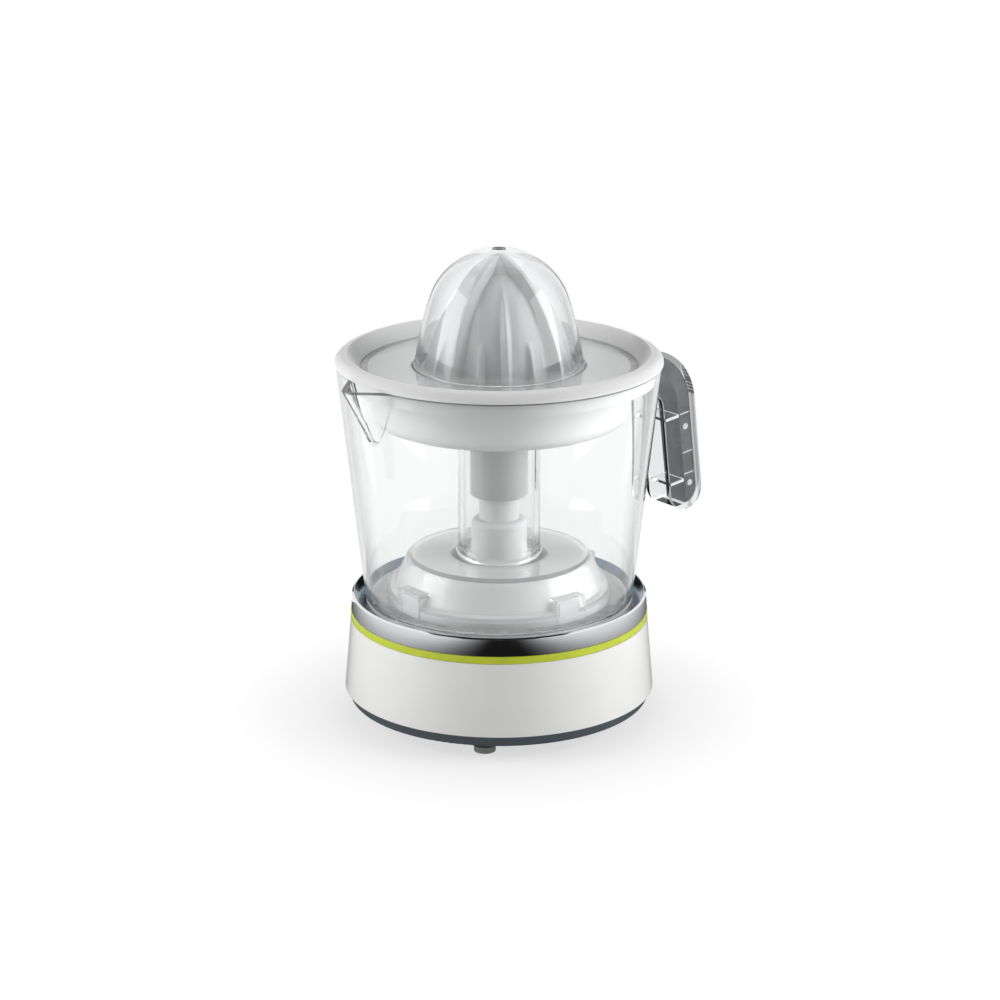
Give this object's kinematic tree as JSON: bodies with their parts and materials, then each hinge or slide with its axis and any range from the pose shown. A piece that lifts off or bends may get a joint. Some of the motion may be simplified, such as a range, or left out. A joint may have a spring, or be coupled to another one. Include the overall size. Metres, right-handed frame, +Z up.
{
  "type": "citrus press juicer",
  "caption": "Electric citrus press with a ribbed reamer under a clear dust cover, a slotted strainer, a clear jug with spout and handle, and a geared motor base.",
  "frame": {"origin": "on the drive axis, at the level of the table under the foot pads", "axes": "+Z up along the drive axis, +X towards the handle, -X towards the pouring spout"},
  "size_m": [0.2303, 0.168, 0.2466],
  "materials": {
    "slate_plastic": "matte",
    "white_plastic": "gloss",
    "lime_plastic": "gloss",
    "bright_trim": "polished",
    "clear_plastic": "clear",
    "grip_rubber": "matte",
    "pad_rubber": "matte",
    "dark_plastic": "matte",
    "gear_plastic": "satin",
    "steel": "brushed",
    "core_steel": "laminated",
    "magnet": "matte",
    "bronze": "satin",
    "copper": "enamelled wire"
  },
  "bodies": {
    "base": {"base_plate": "slate_plastic", "foot_pads": "pad_rubber", "base_screws": "steel", "base_shell": "white_plastic", "cord_gland": "dark_plastic", "accent_ring": "lime_plastic", "trim_ring": "bright_trim", "deck_hub": "white_plastic", "gear_plate": "steel", "plate_screws": "steel", "bearing_bushes": "bronze", "stator_core": "core_steel", "coil_bobbins": "dark_plastic", "coil_windings": "copper", "idler_pin": "steel", "switch_body": "dark_plastic"},
    "output_drive": {"output_gear": "gear_plastic", "return_spring": "steel"},
    "spindle": {"drive_spindle": "white_plastic", "drive_shaft": "steel"},
    "idler": {"idler_gear": "gear_plastic"},
    "rotor": {"rotor_magnet": "magnet", "rotor_shaft": "steel", "rotor_pinion": "gear_plastic"},
    "plunger": {"switch_plunger": "gear_plastic"},
    "jug_body": {"jug": "clear_plastic", "jug_handle": "clear_plastic", "grip_insert": "grip_rubber"},
    "strainer_body": {"strainer": "white_plastic"},
    "reamer_body": {"reamer": "white_plastic"},
    "cover_body": {"dust_cover": "clear_plastic"}
  },
  "joints": [
    {"name": "spindle_spin", "type": "hinge", "parent": "base", "child": "output_drive", "pos_m": [0, 0, 0.0615], "axis": [0, 0, 1], "continuous": true},
    {"name": "spindle_press", "type": "slide", "parent": "output_drive", "child": "spindle", "axis": [0, 0, 1], "range_m": [-0.0025, 0], "stiffness_N_per_m": 2000, "springref_m": 0.004, "deforming": ["return_spring"]},
    {"name": "idler_spin", "type": "hinge", "parent": "base", "child": "idler", "pos_m": [0.0126, 0.03265, 0.058], "axis": [0, 0, 1], "continuous": true},
    {"name": "rotor_spin", "type": "hinge", "parent": "base", "child": "rotor", "pos_m": [0.033, 0.02, 0.031], "axis": [0, 0, 1], "continuous": true},
    {"name": "plunger_press", "type": "slide", "parent": "base", "child": "plunger", "axis": [0, 0, 1], "range_m": [-0.0025, 0]},
    {"name": "jug_lift", "type": "slide", "parent": "base", "child": "jug_body", "axis": [0, 0, 1], "range_m": [0, 0.12]},
    {"name": "strainer_lift", "type": "slide", "parent": "jug_body", "child": "strainer_body", "axis": [0, 0, 1], "range_m": [0, 0.09]},
    {"name": "reamer_spin", "type": "hinge", "parent": "strainer_body", "child": "reamer_body", "pos_m": [0, 0, 0.165], "axis": [0, 0, 1], "continuous": true},
    {"name": "cover_lift", "type": "slide", "parent": "strainer_body", "child": "cover_body", "axis": [0, 0, 1], "range_m": [0, 0.08]}
  ],
  "couplings": [
    {"joint": "idler_spin", "follows": "spindle_spin", "ratio": -4},
    {"joint": "rotor_spin", "follows": "spindle_spin", "ratio": 16},
    {"joint": "reamer_spin", "follows": "spindle_spin", "ratio": 1},
    {"joint": "plunger_press", "follows": "spindle_press", "ratio": 1}
  ]
}
